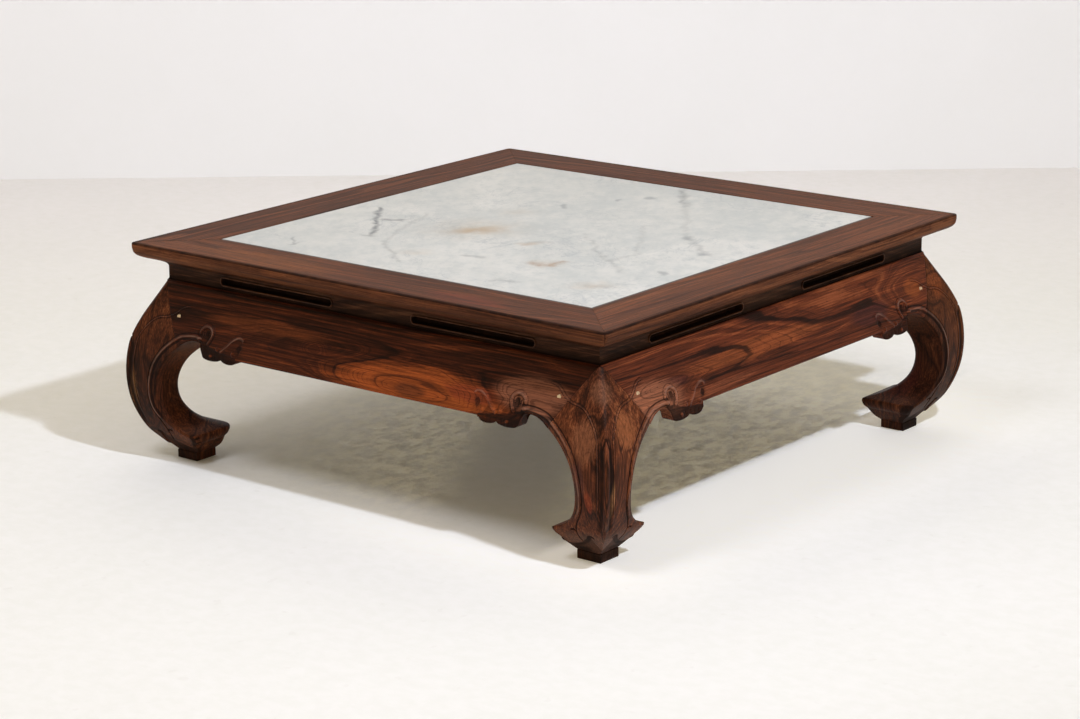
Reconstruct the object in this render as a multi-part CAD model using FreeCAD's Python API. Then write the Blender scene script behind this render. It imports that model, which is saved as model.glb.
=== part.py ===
import FreeCAD, Part
import math
import os

from FreeCAD import Vector

os.makedirs("parts", exist_ok=True)

# A low square table. Millimetres, +Z up, origin at the middle of the floor under it.
# Offsets below are measured outwards from a line below the table top's edge, so a
# negative one lies inside the edge. Heights are above the floor unless they say depth.

# The top
top_length = 1000.0
top_width = 1000.0
table_height = 378.0
corner_round = 6.0

# Frame of the top: two stiles along X and two rails along Y, mitred
frame_thickness = 38.0
frame_border = 107.0
nose_height = 9.0
nose_ease = 2.0
slab_lip = 14.0
stile_tenon_thickness = 12.0
stile_tenon_width = 40.0
stile_tenon_inset = 35.0
stile_tenon_wall = 20.0
tenon_end_gap = 1.0

# Marble slab
slab_thickness = 20.0
slab_gap = 0.6
slab_ease = 0.8

# Braces under the slab
brace_width = 45.0
brace_depth = 26.0
brace_spacing = 260.0
brace_tenon_thickness = 10.0
brace_tenon_width = 25.0
brace_tenon_length = 25.0
brace_tenon_drop = 5.0
brace_places = (("brace_left", -brace_spacing), ("brace_middle", 0.0), ("brace_right", brace_spacing))

# Waist
waist_height = 27.0
waist_offset = -46.0
waist_thickness = 18.0
tongue_thickness = 6.0
tongue_height = 4.5
slot_start = 86.0
slot_length = 246.0
slot_height = 11.0
slot_depth = 12.0
bead_width = 2.6
bead_proud = 1.4

# Aprons and the curve that they share with the legs
apron_depth = 94.0
apron_back_band = 42.0
apron_wall = 30.0
shoulder_offset = -39.0
shoulder_ease = 3.0
belly_proud = 12.0
arch_lift = 9.0
mitre_tip = 4.0
mitre_tongue_length = 12.0
mitre_tongue_thickness = 12.0
mitre_tongue_inset = 14.0
mitre_tongue_low_share = 0.12
mitre_tongue_high_share = 0.55
mitre_reach = 400.0

# Brackets: two carved lobes at each end of an apron, placed inwards from the edge line
bracket_outer_offset = -163.0
bracket_length = 80.0
bracket_drop = 14.5
bracket_notch = 4.0
bracket_split_share = 0.55
bracket_ease = 7.0

# Legs
leg_sweep = 126.0
post_size = 44.0
post_tenon_length = 22.0
post_tenon_width = 12.0
post_tenon_margin = 2.0
long_tenon = 24.0
short_tenon = 16.0
hang_width = 20.0
hang_neck = 14.0
hang_depth = 8.0
hang_height = 58.0
hang_margin = 4.0
toe_top_share = 0.239
toe_thickness = 17.5
toe_roll = 3.5
toe_belly = 3.0
pad_size = 45.0
pad_height = 14.5
pad_offset = -45.5

# Curves of the leg's template. Across: shares of leg_sweep from the toe to the belly.
# Up: of the shoulder's height for the outer curve, of the arch's height for the inner one.
outer_curve_shares = (
    (0.671, 0.936),
    (0.845, 0.799),
    (0.960, 0.652),
    (1.000, 0.486),
    (0.960, 0.332),
    (0.837, 0.192),
    (0.671, 0.102),
)
inner_curve_shares = (
    (-0.150, 1.000),
    (0.048, 0.943),
    (0.230, 0.864),
    (0.381, 0.759),
    (0.460, 0.649),
    (0.480, 0.544),
    (0.444, 0.439),
    (0.349, 0.351),
    (0.198, 0.285),
    (0.016, 0.239),
)
foot_end_share = 0.552
shoulder_share = 0.598
outer_arcs = 6
inner_arcs = 5

# Edge moulding of the top. Across: shares of the overhang, from the edge to the waist.
# Up: of the height from the frame's underside to the foot of the nose.
edge_curve_shares = (
    (0.00, 1.00),
    (0.054, 0.724),
    (0.196, 0.517),
    (0.391, 0.369),
    (0.652, 0.241),
    (0.826, 0.103),
    (1.00, 0.00),
)

# Keys behind the aprons
key_width = 34.0
key_neck = 28.0
key_thickness = 12.0
key_groove = 6.0
key_length = 72.0
key_rise = 12.0

# Pegs
peg_diameter = 7.0
peg_offset = -97.0
peg_drop = 51.0
peg_grip = 18.0
peg_proud = 0.6

# How far a cut runs past a face
overrun = 1.0

# Levels and lengths worked out from the sizes above
half_length = top_length / 2
half_width = top_width / 2
frame_bottom = table_height - frame_thickness
slab_bottom = table_height - slab_thickness
shoulder_height = frame_bottom - waist_height
apron_bottom = shoulder_height - apron_depth
arch_height = apron_bottom + arch_lift
toe_offset = belly_proud - leg_sweep
post_offset = waist_offset - waist_thickness
toe_top = toe_top_share * arch_height
toe_bottom = toe_top - toe_thickness

# Side, turn about Z in degrees, half the run along it, distance from the middle to its edge
sides = (
    ("front", 0.0, half_length, half_width),
    ("right", 90.0, half_width, half_length),
    ("back", 180.0, half_length, half_width),
    ("left", 270.0, half_width, half_length),
)


def turned(shape, degrees):
    """The shape, turned about the table's upright axis."""
    result = shape.copy()
    result.rotate(Vector(0, 0, 0), Vector(0, 0, 1), degrees)
    return result


def mirrored(shape):
    """The shape's twin at the other end of a side."""
    return shape.mirror(Vector(0, 0, 0), Vector(1, 0, 0))


def box(low, high):
    """A block between two corners."""
    size = Vector(*high) - Vector(*low)
    return Part.makeBox(size.x, size.y, size.z, Vector(*low))


def polygon(points):
    """Straight edges through the points and back to the first."""
    return Part.makePolygon(list(points) + [points[0]])


def prism(wire, travel):
    """A solid swept straight from a flat closed wire."""
    return Part.Face(wire).extrude(travel)


def arcs_through(points):
    """Arcs, each through three of the points, end to end."""
    edges = []
    for start in range(0, len(points) - 2, 2):
        edges.append(Part.Arc(points[start], points[start + 1], points[start + 2]).toShape())
    return edges


def spline_through(points):
    """The smooth curve through a template's points, in the plane Y = 0."""
    spline = Part.BSplineCurve()
    spline.interpolate([Vector(across, 0, up) for across, up in points])
    return spline


def smooth(points, start, end, arcs):
    """Template points for arcs along the smooth curve, from one point on it to another."""
    spline = spline_through(points)
    first = spline.parameter(Vector(start[0], 0, start[1]))
    last = spline.parameter(Vector(end[0], 0, end[1]))
    steps = 2 * arcs
    values = [spline.value(first + (last - first) * step / steps) for step in range(steps + 1)]
    return [(value.x, value.z) for value in values]


def segment(start, end):
    """One straight edge."""
    return Part.LineSegment(start, end).toShape()


def corner_wedge(run, reach, out, depth, low, high):
    """Plan outline of a mitred side, from an outer line to a depth inside it, as a block."""
    outer_x = run + out
    outer_y = -(reach + out)
    corners = (
        Vector(-outer_x, outer_y, low),
        Vector(outer_x, outer_y, low),
        Vector(outer_x - depth, outer_y + depth, low),
        Vector(-outer_x + depth, outer_y + depth, low),
    )
    return prism(polygon(corners), Vector(0, 0, high - low))


def rounded_plan():
    """The top's outline with its upright corners eased, as a block as thick as the frame."""
    plan = box((-half_length, -half_width, frame_bottom), (half_length, half_width, table_height))
    uprights = []
    for edge in plan.Edges:
        if abs(edge.tangentAt(edge.FirstParameter).z) > 0.5:
            uprights.append(edge)
    return plan.makeFillet(corner_round, uprights)


def frame_member(run, reach):
    """One mitred side of the top frame, with its edge moulding, rebate and waist groove."""
    edge = -reach
    overhang = -waist_offset
    nose_low = table_height - nose_height
    inner = edge + frame_border
    lip = inner + slab_lip

    def at(y, z):
        return Vector(-run, y, z)

    moulding = []
    for across, up in edge_curve_shares:
        moulding.append(at(edge + across * overhang, frame_bottom + up * (nose_low - frame_bottom)))
    corners = (
        moulding[-1],
        at(lip, frame_bottom),
        at(lip, slab_bottom),
        at(inner, slab_bottom),
        at(inner, table_height),
        at(edge + nose_ease, table_height),
        at(edge, table_height - nose_ease),
        moulding[0],
    )
    edges = arcs_through(moulding)
    for start, end in zip(corners, corners[1:]):
        edges.append(segment(start, end))
    member = prism(Part.Wire(edges), Vector(2 * run, 0, 0))
    depth = frame_border + slab_lip + overrun
    wedge = corner_wedge(run, reach, 0.0, depth, frame_bottom - overrun, table_height + overrun)
    return member.common(wedge)


def stile_tenon(run, reach, end_gap):
    """Tenon at a stile's right-hand end, or with a gap at its end the mortise for it."""
    low = slab_bottom - stile_tenon_thickness / 2
    near = -reach + stile_tenon_inset
    root = run - stile_tenon_inset - stile_tenon_width
    tip = run - stile_tenon_wall + end_gap
    return box((root, near, low), (tip, near + stile_tenon_width, low + stile_tenon_thickness))


def waist_tongue(run, reach, low, high):
    """Tongue along the middle of a waist board's edge, mitred at the corners."""
    out = waist_offset - (waist_thickness - tongue_thickness) / 2
    return corner_wedge(run, reach, out, tongue_thickness, low, high)


def racetrack(start, length, middle_z, radius, y, travel):
    """A long slot's outline with round ends, swept inwards."""
    left = start + radius
    right = start + length - radius
    low = middle_z - radius
    high = middle_z + radius
    edges = (
        segment(Vector(left, y, low), Vector(right, y, low)),
        Part.Arc(Vector(right, y, low), Vector(right + radius, y, middle_z), Vector(right, y, high)).toShape(),
        segment(Vector(right, y, high), Vector(left, y, high)),
        Part.Arc(Vector(left, y, high), Vector(left - radius, y, middle_z), Vector(left, y, low)).toShape(),
    )
    return prism(Part.Wire(edges), Vector(0, travel, 0))


def waist_board(run, reach):
    """A waist board: mitred corners, tongues above and below, two long blind slots with beads."""
    board = corner_wedge(run, reach, waist_offset, waist_thickness, shoulder_height, frame_bottom)
    board = board.fuse(waist_tongue(run, reach, shoulder_height - tongue_height, frame_bottom + tongue_height))
    face = -(reach + waist_offset)
    middle_z = shoulder_height + waist_height / 2
    radius = slot_height / 2
    slot_share = slot_length / half_length
    length = slot_share * run
    start = slot_start
    for end in (-1, 1):
        first = start if end > 0 else -start - length
        rim = racetrack(
            first - bead_width,
            length + 2 * bead_width,
            middle_z,
            radius + bead_width,
            face - bead_proud,
            bead_proud + bead_width,
        )
        board = board.fuse(rim)
        travel = overrun + bead_proud + slot_depth
        board = board.cut(racetrack(first, length, middle_z, radius, face - bead_proud - overrun, travel))
    return board.removeSplitter()


def template_point(across, up, height):
    """A point of the leg's template: offset from the edge line, and height."""
    return (toe_offset + across * leg_sweep, up * height)


def outer_template():
    """Points of the outer curve, from the eased shoulder down to the pad."""
    points = [template_point(shoulder_share, 1.0 - shoulder_ease / shoulder_height, shoulder_height)]
    for across, up in outer_curve_shares:
        points.append(template_point(across, up, shoulder_height))
    points.append(template_point(foot_end_share, pad_height / shoulder_height, shoulder_height))
    return points


def inner_template():
    """Points of the inner curve, from the arch's crown down to the toe's top."""
    return [template_point(across, up, arch_height) for across, up in inner_curve_shares]


def along_face(points, run, y):
    """Template points laid in an upright plane along a side, at its right-hand end."""
    return [Vector(run + across, y, up) for across, up in points]


def through_face(points, reach, x):
    """Template points laid in an upright plane across a side."""
    return [Vector(x, -(reach + across), up) for across, up in points]


def seam_line():
    """Top and foot of the mitre between apron and leg. The foot is where the arch meets the post."""
    top = (shoulder_offset - mitre_tip, shoulder_height)
    across = post_offset - post_size
    upright = segment(Vector(across, 0, arch_height / 2), Vector(across, 0, arch_height))
    arch = spline_through(inner_template()).toShape()
    foot = arch.distToShape(upright)[1][0][0]
    return top, (foot.x, foot.z)


def outer_arcs_points():
    """Template points for the arcs of the bulged face."""
    outer = outer_template()
    return smooth(outer, outer[0], outer[-1], outer_arcs)


def bulged_block(run, reach, inner_offset):
    """Everything behind the bulged face along a whole side, back to an upright inner plane."""
    x = -run
    face = through_face(outer_arcs_points(), reach, x)
    eased = Vector(x, -(reach + shoulder_offset - shoulder_ease), shoulder_height)
    inner_top = Vector(x, -(reach + inner_offset), shoulder_height)
    inner_low = Vector(x, -(reach + inner_offset), pad_height)
    edges = arcs_through(face)
    edges.append(segment(face[-1], inner_low))
    edges.append(segment(inner_low, inner_top))
    edges.append(segment(inner_top, eased))
    edges.append(segment(eased, face[0]))
    return prism(Part.Wire(edges), Vector(2 * run, 0, 0))


def bracket_edges(run, y):
    """Lower edge of the right-hand bracket, from the arch's crown in to the apron's straight edge."""
    outer_x = run + bracket_outer_offset
    inner_x = outer_x - bracket_length
    split_x = outer_x - bracket_split_share * bracket_length
    low = apron_bottom - bracket_drop
    ease = bracket_ease

    def at(x, z):
        return Vector(x, y, z)

    crown = along_face(inner_template(), run, y)[0]
    crown_end = at(outer_x + ease, arch_height)
    wall_top = at(outer_x, arch_height - ease)
    wall_low = at(outer_x, low + ease)
    first_start = at(outer_x - ease, low)
    notch = at(split_x, low + bracket_notch)
    first_mid = at((first_start.x + split_x) / 2, low - bracket_notch / 4)
    second_end = at(inner_x, low + ease)
    second_mid = at((split_x + inner_x) / 2, low - bracket_notch / 2)
    inner_end = at(inner_x, apron_bottom)
    corner = ease * (1.0 - math.sqrt(0.5))
    edges = [
        segment(crown, crown_end),
        Part.Arc(crown_end, at(outer_x + corner, arch_height - corner), wall_top).toShape(),
        segment(wall_top, wall_low),
        Part.Arc(wall_low, at(outer_x - corner, low + corner), first_start).toShape(),
        Part.Arc(first_start, first_mid, notch).toShape(),
        Part.Arc(notch, second_mid, second_end).toShape(),
        segment(second_end, inner_end),
    ]
    return edges, inner_end


def apron_elevation(run, reach):
    """The apron's elevation, with arches, brackets and mitres, swept through its thickness."""
    y = -(reach + belly_proud + overrun)
    top, foot = seam_line()
    inner = inner_template()
    seam_top = along_face([top], run, y)[0]
    arch = along_face(smooth(inner, inner[0], foot, 1), run, y)
    bracket, bracket_end = bracket_edges(run, y)
    middle_top = Vector(0, y, shoulder_height)
    middle_low = Vector(0, y, apron_bottom)
    edges = [segment(middle_top, seam_top), segment(seam_top, arch[-1])]
    edges = edges + arcs_through(arch) + bracket
    edges.append(segment(bracket_end, middle_low))
    edges.append(segment(middle_low, middle_top))
    depth = belly_proud - post_offset + overrun
    half = prism(Part.Wire(Part.__sortEdges__(edges)), Vector(0, depth, 0))
    return half.fuse(mirrored(half)).removeSplitter()


def apron_blank(run, reach):
    """An apron before its grooves: bulged face, bracketed lower edge, mitres and tongues."""
    body = bulged_block(run, reach, post_offset).common(apron_elevation(run, reach))
    depth = belly_proud - post_offset + overrun
    body = body.common(corner_wedge(run, reach, belly_proud, depth, 0.0, shoulder_height))
    body = body.cut(back_hollow(run, reach))
    tongue = mitre_tongue(run, reach)
    return body.fuse(tongue).fuse(mirrored(tongue))


def apron(run, reach):
    """One apron, with the waist's groove along its top and the leg's grooves in its back."""
    groove = waist_tongue(run, reach, shoulder_height - tongue_height, shoulder_height + overrun)
    hang = hanging_tongue(run, reach)
    return apron_blank(run, reach).cut(groove).cut(hang).cut(mirrored(hang)).removeSplitter()


def back_hollow(run, reach):
    """The hollow cut in an apron's back between the legs' posts, parallel to its face."""
    x = -(run + post_offset - post_size - hang_margin)
    plane = -(reach + post_offset)
    band_low = shoulder_height - apron_back_band
    floor = apron_bottom - bracket_drop - bracket_notch - overrun
    inner_floor = plane + post_offset + apron_wall - belly_proud
    section = (
        Vector(x, plane + overrun, band_low),
        Vector(x, plane, band_low),
        Vector(x, inner_floor, apron_bottom),
        Vector(x, inner_floor, floor),
        Vector(x, plane + overrun, floor),
    )
    return prism(polygon(section), Vector(-2 * x, 0, 0))


def mitre_tongue(run, reach):
    """Tongue beyond the apron's mitre, which slides down into the leg's shoulder."""
    top, foot = seam_line()
    near = -(reach + post_offset + mitre_tongue_inset)
    far = near - mitre_tongue_thickness
    along = (foot[0] - top[0], foot[1] - top[1])
    length = math.hypot(along[0], along[1])
    out = (-along[1] / length * mitre_tongue_length, along[0] / length * mitre_tongue_length)
    low = (top[0] + along[0] * (1 - mitre_tongue_low_share), top[1] + along[1] * (1 - mitre_tongue_low_share))
    high = (top[0] + along[0] * (1 - mitre_tongue_high_share), top[1] + along[1] * (1 - mitre_tongue_high_share))
    outline = [
        (low[0] - out[0], low[1] - out[1]),
        (low[0] + out[0], low[1] + out[1]),
        (high[0] + out[0], high[1] + out[1]),
        (high[0] - out[0], high[1] - out[1]),
    ]
    return prism(polygon(along_face(outline, run, far)), Vector(0, near - far, 0))


def hanging_tongue(run, reach):
    """Upright dovetail on the leg's post, over which the apron slides down."""
    face = -(reach + post_offset)
    middle = run + post_offset - post_size + hang_margin + hang_width / 2 + peg_diameter * 2
    low = shoulder_height - hang_height
    plan = (
        Vector(middle - hang_neck / 2, face + overrun, low),
        Vector(middle + hang_neck / 2, face + overrun, low),
        Vector(middle + hang_neck / 2, face, low),
        Vector(middle + hang_width / 2, face - hang_depth, low),
        Vector(middle - hang_width / 2, face - hang_depth, low),
        Vector(middle - hang_neck / 2, face, low),
    )
    return prism(polygon(plan), Vector(0, 0, hang_height - tongue_height))


def leg_template(run, reach):
    """The leg's cut-out template in elevation, up to its mitred shoulder, swept across the leg."""
    y = -(reach + belly_proud + overrun)
    top, foot = seam_line()
    inner = inner_template()
    face = along_face(outer_arcs_points(), run, y)
    arch = along_face(smooth(inner, foot, inner[-1], inner_arcs), run, y)
    seam_top = along_face([top], run, y)[0]
    eased = Vector(run + shoulder_offset - shoulder_ease, y, shoulder_height)
    toe_x = arch[-1].x
    toe_low = Vector(toe_x + toe_roll, y, toe_bottom)
    toe_nose = Vector(toe_x - toe_roll, y, (toe_top + toe_bottom) / 2)
    pad_inner = Vector(run + pad_offset - pad_size, y, pad_height)
    sole = (toe_low + pad_inner) / 2 - Vector(0, 0, toe_belly)
    edges = arcs_through(arch) + arcs_through(face)
    edges.append(segment(arch[0], seam_top))
    edges.append(segment(seam_top, eased))
    edges.append(segment(eased, face[0]))
    edges.append(segment(face[-1], pad_inner))
    edges.append(Part.Arc(pad_inner, sole, toe_low).toShape())
    edges.append(Part.Arc(toe_low, toe_nose, arch[-1]).toShape())
    depth = leg_sweep + post_size + 2 * overrun
    return prism(Part.Wire(Part.__sortEdges__(edges)), Vector(0, depth, 0))


def post_tenons(run, reach):
    """The post's two tenons: the long one enters the stile, the short one the rail."""
    x = run + post_offset
    y = -(reach + post_offset)
    inset = post_tenon_margin
    first = box(
        (x - post_size + inset, y + inset, frame_bottom - overrun),
        (x - post_size + inset + post_tenon_length, y + inset + post_tenon_width, frame_bottom + long_tenon),
    )
    second = box(
        (x - inset - post_tenon_width, y + post_size - inset - post_tenon_length, frame_bottom - overrun),
        (x - inset, y + post_size - inset, frame_bottom + short_tenon),
    )
    return first.fuse(second)


def swap(shape):
    """The shape reflected in the corner's diagonal plane, which swaps the two sides."""
    normal = Vector(1, 1, 0)
    normal.normalize()
    corner = Vector(half_length, -half_width, 0)
    return shape.mirror(corner, normal)


def leg():
    """The front right leg: two templates crossed, a post with tenons, shoulders, toe and pad."""
    run = half_length
    reach = half_width
    first = leg_template(run, reach)
    body = first.common(swap(first))
    x = run + post_offset
    y = -(reach + post_offset)
    top, foot = seam_line()
    post = box((x - post_size, y, foot[1]), (x, y + post_size, frame_bottom))
    body = body.fuse(post).fuse(post_tenons(run, reach))
    for piece in (apron_blank(run, reach), turned(apron_blank(reach, run), 90.0)):
        body = body.cut(piece)
    hang = hanging_tongue(run, reach)
    body = body.fuse(hang).fuse(swap(hang))
    pad_x = run + pad_offset
    pad_y = -(reach + pad_offset)
    pad = box((pad_x - pad_size, pad_y, 0.0), (pad_x, pad_y + pad_size, pad_height))
    return body.fuse(pad).removeSplitter()


def key(run, reach):
    """Dovetail key in the backs of an apron and its waist board, up into the frame."""
    face = -(reach + post_offset)
    low = frame_bottom + key_rise - key_length
    plan = (
        Vector(-key_width / 2, face - key_groove, low),
        Vector(key_width / 2, face - key_groove, low),
        Vector(key_neck / 2, face, low),
        Vector(key_neck / 2, face - key_groove + key_thickness, low),
        Vector(-key_neck / 2, face - key_groove + key_thickness, low),
        Vector(-key_neck / 2, face, low),
    )
    return prism(polygon(plan), Vector(0, 0, key_length))


def peg(run, reach):
    """One peg through the apron's right-hand end into the leg's post."""
    x = run + peg_offset
    z = shoulder_height - peg_drop
    outer = belly_offset(z) + peg_proud
    length = outer - post_offset + peg_grip
    return Part.makeCylinder(peg_diameter / 2, length, Vector(x, -(reach + outer), z), Vector(0, 1, 0))


def belly_offset(height):
    """How far out the bulged face is at a height."""
    face = Part.Wire(arcs_through(along_face(outer_arcs_points(), 0.0, 0.0)))
    level = segment(Vector(-leg_sweep, 0, height), Vector(leg_sweep, 0, height))
    return face.distToShape(level)[1][0][0].x


def brace(x):
    """A brace under the slab, with a tenon into each stile."""
    end = half_width - frame_border - slab_lip
    low = slab_bottom - brace_depth
    body = box((x - brace_width / 2, -end, low), (x + brace_width / 2, end, slab_bottom))
    tenon_high = slab_bottom - brace_tenon_drop
    tenon_end = end + brace_tenon_length
    tenon = box(
        (x - brace_tenon_width / 2, -tenon_end, tenon_high - brace_tenon_thickness),
        (x + brace_tenon_width / 2, tenon_end, tenon_high),
    )
    return body.fuse(tenon).removeSplitter()


def slab():
    """The marble slab, its upper edges eased."""
    inset = frame_border + slab_gap
    x = half_length - inset
    y = half_width - inset
    block = box((-x, -y, slab_bottom), (x, y, table_height))
    top_edges = [edge for edge in block.Edges if edge.BoundBox.ZMin > slab_bottom + slab_ease]
    return block.makeChamfer(slab_ease, top_edges)


def save(name, shape):
    """Writes one named piece as closed solids."""
    shape.exportStep("parts/" + name + ".step")


def build():
    """Makes every piece, fits the joints by cutting each from its partner, and saves them."""
    plan = rounded_plan()
    keys = {}
    aprons = {}
    waists = {}
    members = {}
    for name, turn, run, reach in sides:
        keys[name] = turned(key(run, reach), turn)
        aprons[name] = turned(apron(run, reach), turn).cut(keys[name])
        waists[name] = turned(waist_board(run, reach), turn).cut(keys[name])
        member = turned(frame_member(run, reach), turn).common(plan)
        groove = turned(waist_tongue(run, reach, frame_bottom - overrun, frame_bottom + tongue_height), turn)
        members[name] = member.cut(groove).cut(keys[name])

    front_right = leg()
    legs = {
        "leg_front_right": front_right,
        "leg_front_left": mirrored(front_right),
        "leg_back_right": front_right.mirror(Vector(0, 0, 0), Vector(0, 1, 0)),
        "leg_back_left": turned(front_right, 180.0),
    }
    pegs = []
    for name, turn, run, reach in sides:
        pegs.append(turned(peg(run, reach), turn))
        pegs.append(turned(mirrored(peg(run, reach)), turn))

    braces = {name: brace(place) for name, place in brace_places}
    tenon = stile_tenon(half_length, half_width, 0.0)
    socket = stile_tenon(half_length, half_width, tenon_end_gap)
    for name, turn in (("front", 0.0), ("back", 180.0)):
        members[name] = members[name].fuse(turned(tenon, turn)).fuse(turned(mirrored(tenon), turn))
        for piece in braces.values():
            members[name] = members[name].cut(piece)
        members[name] = members[name].removeSplitter()
        for rail in ("left", "right"):
            members[rail] = members[rail].cut(turned(socket, turn)).cut(turned(mirrored(socket), turn))
    for piece in legs.values():
        for name in members:
            members[name] = members[name].cut(piece)
    for hole in pegs:
        for name in aprons:
            aprons[name] = aprons[name].cut(hole)
        for name in legs:
            legs[name] = legs[name].cut(hole)

    for name in ("front", "back"):
        save("frame_stile_" + name, members[name])
    for name in ("left", "right"):
        save("frame_rail_" + name, members[name])
    save("marble_slab", slab())
    for name, piece in braces.items():
        save(name, piece)
    for name in aprons:
        save("waist_" + name, waists[name])
        save("apron_" + name, aprons[name])
        save("key_" + name, keys[name])
    for name, piece in legs.items():
        save(name, piece)
    save("joint_pegs", Part.makeCompound(pegs))


build()
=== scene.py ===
# %% [markdown]
# # A low table with a marble top
#
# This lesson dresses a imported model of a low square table: a mitred hardwood frame round a marble slab, a waist with
# two slots a side, bulging aprons with carved brackets, and four legs that curl inwards to a hoof on a square pad.
# Plain solids can't show carving, so each carved or moulded piece is made again here in mesh, in the place of its
# solid. Lengths are in millimetres, as a joiner measures them, and turned to metres when a vertex is placed.

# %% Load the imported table
import math
import random

import bmesh
import bpy
import numpy as np
from mathutils import Matrix, Vector
from mathutils.geometry import interpolate_bezier


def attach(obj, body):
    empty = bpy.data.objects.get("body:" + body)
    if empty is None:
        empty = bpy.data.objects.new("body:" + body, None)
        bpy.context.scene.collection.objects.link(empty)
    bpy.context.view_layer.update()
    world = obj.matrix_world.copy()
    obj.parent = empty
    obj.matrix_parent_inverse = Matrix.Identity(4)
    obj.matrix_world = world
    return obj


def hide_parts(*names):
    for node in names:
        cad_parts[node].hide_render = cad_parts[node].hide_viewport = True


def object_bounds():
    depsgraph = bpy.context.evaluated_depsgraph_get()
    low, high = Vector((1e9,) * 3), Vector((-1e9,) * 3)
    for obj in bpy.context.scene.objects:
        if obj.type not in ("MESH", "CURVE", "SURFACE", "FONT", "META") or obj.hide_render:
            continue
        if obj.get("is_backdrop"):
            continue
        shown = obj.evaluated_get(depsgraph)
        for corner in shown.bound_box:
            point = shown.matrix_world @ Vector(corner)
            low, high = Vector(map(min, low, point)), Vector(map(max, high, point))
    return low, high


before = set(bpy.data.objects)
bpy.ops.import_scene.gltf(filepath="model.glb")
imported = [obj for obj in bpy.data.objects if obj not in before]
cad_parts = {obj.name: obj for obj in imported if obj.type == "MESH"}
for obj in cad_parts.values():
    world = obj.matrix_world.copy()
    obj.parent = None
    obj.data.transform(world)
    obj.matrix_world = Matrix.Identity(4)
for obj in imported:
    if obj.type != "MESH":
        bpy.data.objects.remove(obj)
packed_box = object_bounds()
random.seed(7)
print("nodes:", len(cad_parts), "box:", [[round(value, 4) for value in corner] for corner in packed_box])

# %% [markdown]
# ## The camera
#
# A camera was fitted to the four corners of the top, the four corners of the marble and three foot pads. It stands
# almost five metres away, so the lens is long and the table hardly narrows with distance.

# %% Camera
def linked(name, data):
    """A new object in the scene, for a camera, lamp or mesh."""
    item = bpy.data.objects.new(name, data)
    bpy.context.scene.collection.objects.link(item)
    return item


camera_place = Vector((-3.6823, -2.9432, 1.4442))
yaw, pitch, roll = (math.radians(angle) for angle in (38.876, 15.393, -0.628))
ahead = Vector((math.cos(yaw) * math.cos(pitch), math.sin(yaw) * math.cos(pitch), -math.sin(pitch)))
level_right = Vector((math.sin(yaw), -math.cos(yaw), 0))
level_up = level_right.cross(ahead)
right = level_right * math.cos(roll) + level_up * math.sin(roll)
up = level_up * math.cos(roll) - level_right * math.sin(roll)
camera = linked("camera", bpy.data.cameras.new("camera"))
camera.data.lens = 94.93
camera.data.sensor_width = 36
camera.data.sensor_fit = "HORIZONTAL"
camera.matrix_world = Matrix.Translation(camera_place) @ Matrix((right, up, -ahead)).transposed().to_4x4()
bpy.context.scene.camera = camera
print("camera %.2f m from the middle of the floor" % camera_place.length)

# %% [markdown]
# ## Shader maths that reads like maths
#
# A material is a net of nodes, hard to follow when each is written out. So one small class wraps a socket and lets
# Python's own operators add the Math nodes: `1 - mask * 0.3` makes two of them. Every other node comes from one
# method of the bench, which takes the node's type, then its settings, then what goes into its sockets.

# %% A wrapped socket and the bench that makes nodes
class Reading:
    """A number, vector or colour that varies over a surface."""

    def __init__(self, bench, socket):
        self.bench = bench
        self.socket = socket

    def __add__(self, other):
        return self.bench.maths("ADD", self, other)

    __radd__ = __add__

    def __sub__(self, other):
        return self.bench.maths("SUBTRACT", self, other)

    def __rsub__(self, other):
        return self.bench.maths("SUBTRACT", other, self)

    def __mul__(self, other):
        return self.bench.maths("MULTIPLY", self, other)


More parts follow.
